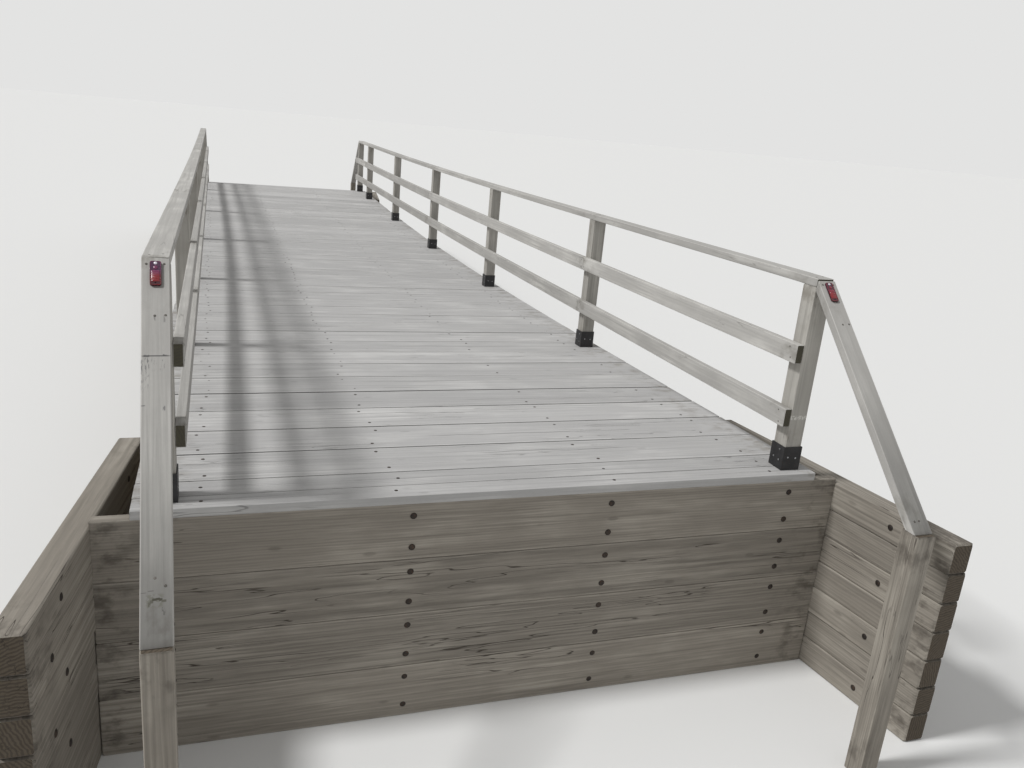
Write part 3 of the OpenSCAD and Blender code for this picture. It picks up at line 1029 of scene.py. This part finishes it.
def blocking():
    """The blocks between the beams."""
    boards = Boards("beam_blocking_boards", SEEDS["blocking"])
    for lo, hi in boxes("beam_blocking"):
        boards.add(box_quads(lo, hi, "x"), ease=BLOCK_EASE, steps=3)
    boards.done(BEAM, "beam_timber", "beam_blocking")


def course_heights(lo, hi, courses):
    """The lowest and the highest z of each course of a wall."""
    levels = [lo.z + (hi.z - lo.z) * i / courses for i in range(courses + 1)]
    return list(zip(levels, levels[1:]))


def stacked(node, name, seed, wall):
    """A wall of timbers across the bridge, each a little in or out of line."""
    boards = Boards(name, seed)
    draw = boards.random
    courses, ease, uneven = wall
    for lo, hi in boxes(node):
        for za, zb in course_heights(lo, hi, courses):
            step = Vector((0, even(draw, uneven), 0))
            low, high = Vector((lo.x, lo.y, za)) + step, Vector((hi.x, hi.y, zb)) + step
            tone = even(draw, WALL_TONE)
            boards.add(box_quads(low, high, "x"), ease=ease, steps=10, tone=tone)
    boards.done(BANK, "bank_timber", node)


def wing(node, seed):
    """A flared wing wall of timbers that follow its two long sides in plan. Gives places for its bolts."""
    boards = Boards(node + "_timbers", seed)
    draw = boards.random
    courses, ease, uneven = WING_COURSES
    bolts = []
    for points in solids(node):
        flat = sorted({(round(p.x, 4), round(p.y, 4)) for p in points}, key=lambda p: p[1])
        near, far = sorted(flat[:2]), sorted(flat[-2:])
        for i, (za, zb) in enumerate(course_heights(*corners(points), courses)):
            step = even(draw, uneven)
            quads = [[(p[0] + step, p[1], z) for p, z in ((a, za), (b, za), (b, zb), (a, zb))]
                     for a, b in (near, far)]
            boards.add(quads, ease=ease, steps=8, tone=even(draw, WALL_TONE))
            for share in WING_BOLT_SHARES[i % 2]:
                for a, b, out in zip(near, far, (-1, 1)):
                    x, y = (p + (q - p) * share for p, q in zip(a, b))
                    bolts.append(((x + step - out * WING_BOLT_SUNK, y, (za + zb) / 2), (out, 0, 0)))
    boards.done(BANK, "bank_timber", node)
    return bolts


def headwall_bolts(end, way):
    """Places for two bolts in each course of a headwall, by each beam."""
    lo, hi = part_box(end + "_headwall")
    y = (lo.y if way < 0 else hi.y) - way * BOLT_SUNK
    middles = [(za + zb) / 2 for za, zb in course_heights(lo, hi, HEADWALL_COURSES[0])]
    return [((x, y, z + lift), (0, way, 0))
            for z in middles for x in HEADWALL_BOLTS for lift in (-BOLT_LIFT, BOLT_LIFT)]


def walls():
    """The bearing wall, headwall and wing walls of both ends, with their bolts."""
    bolts = []
    for k, (end, way) in enumerate(ENDS.items()):
        head = end + "_headwall"
        stacked(end + "_bearing_wall", end + "_bearing_timbers", SEEDS["bearings"] + k, BEARING_COURSES)
        stacked(head, head + "_planks", SEEDS["headwalls"] + k, HEADWALL_COURSES)
        bolts += headwall_bolts(end, way)
        for j, side in enumerate(SIDES):
            bolts += wing("wing_wall_%s_%s" % (end, side), SEEDS["wings"] + 2 * k + j)
    heads("wall_bolt_heads", bolts, BOLT_HEAD, DARK_HEAD, 14)


# Floor, light and camera
FLOOR_REACH = 260
FLOOR_COLOUR = (0.78, 0.78, 0.77, 1)
SKY_STRENGTH = 0.45
BACKGROUND = (0.768, 0.768, 0.762, 1)
KEY_STRENGTH, KEY_WIDTH, KEY_WAY = 2.2, math.radians(9), (0.62, -0.04, -0.78)
CAMERA_PLACE = (-1.1779, -9.7896, 2.4904)
YAW, PITCH, ROLL = (math.radians(a) for a in (19.8615, 16.8378, 5.2419))
LENS_LENGTH, SENSOR_WIDTH, VIEW_REACH = 30.0, 36.0, 1000


def floor():
    """A plain pale floor that reaches past the view."""
    mesh = bpy.data.meshes.new("floor")
    plan = ((-1, -1), (1, -1), (1, 1), (-1, 1))
    mesh.from_pydata([(x * FLOOR_REACH, y * FLOOR_REACH, 0) for x, y in plan], [], [(0, 1, 2, 3)])
    mesh.materials.append(Shader("pale_floor").finish(FLOOR_COLOUR, 0.95, None, Specular_IOR_Level=0.1))
    linked("floor", mesh)


def light():
    """An even pale sky with one soft key light. What sees the sky itself sees the pale background."""
    world = bpy.data.worlds.new("studio")
    bpy.context.scene.world = world
    world.use_nodes = True
    tree = world.node_tree
    join = tree.links.new
    sky = tree.nodes["Background"]
    sky.inputs["Color"].default_value = (1, 1, 1, 1)
    sky.inputs["Strength"].default_value = SKY_STRENGTH
    seen = tree.nodes.new("ShaderNodeBackground")
    seen.inputs["Color"].default_value = BACKGROUND
    mixed = tree.nodes.new("ShaderNodeMixShader")
    path = tree.nodes.new("ShaderNodeLightPath")
    shown = path.outputs["Is Camera Ray"]
    for ray in ("Is Glossy Ray", "Is Transmission Ray"):
        either = tree.nodes.new("ShaderNodeMath")
        either.operation = "MAXIMUM"
        join(shown, either.inputs[0])
        join(path.outputs[ray], either.inputs[1])
        shown = either.outputs[0]
    join(shown, mixed.inputs[0])
    join(sky.outputs[0], mixed.inputs[1])
    join(seen.outputs[0], mixed.inputs[2])
    join(mixed.outputs[0], tree.nodes["World Output"].inputs["Surface"])
    lamp = bpy.data.lights.new("soft_key", "SUN")
    lamp.energy = KEY_STRENGTH
    lamp.angle = KEY_WIDTH
    linked("soft_key", lamp).rotation_euler = Vector(KEY_WAY).to_track_quat("-Z", "Y").to_euler()


def camera():
    """The photograph's viewpoint, fitted to the bridge's own lines."""
    forward = Vector((math.sin(YAW) * math.cos(PITCH), math.cos(YAW) * math.cos(PITCH), -math.sin(PITCH)))
    level = Vector((math.cos(YAW), -math.sin(YAW), 0))
    over = level.cross(forward)
    right = level * math.cos(ROLL) + over * math.sin(ROLL)
    up = over * math.cos(ROLL) - level * math.sin(ROLL)
    lens = bpy.data.cameras.new("photo_view")
    lens.lens = LENS_LENGTH
    lens.sensor_width = SENSOR_WIDTH
    lens.clip_end = VIEW_REACH
    made = linked("photo_view", lens)
    turn = Matrix((right, up, -forward)).transposed().to_4x4()
    made.matrix_world = Matrix.Translation(CAMERA_PLACE) @ turn
    bpy.context.scene.camera = made


dress_nodes()
deck_boards()
deck_nails()
posts()
rails()
braces()
stakes()
rail_screws()
brace_screws()
reflectors()
sleeves()
beams()
blocking()
walls()
floor()
light()
camera()
bpy.context.scene.view_settings.view_transform = "Standard"
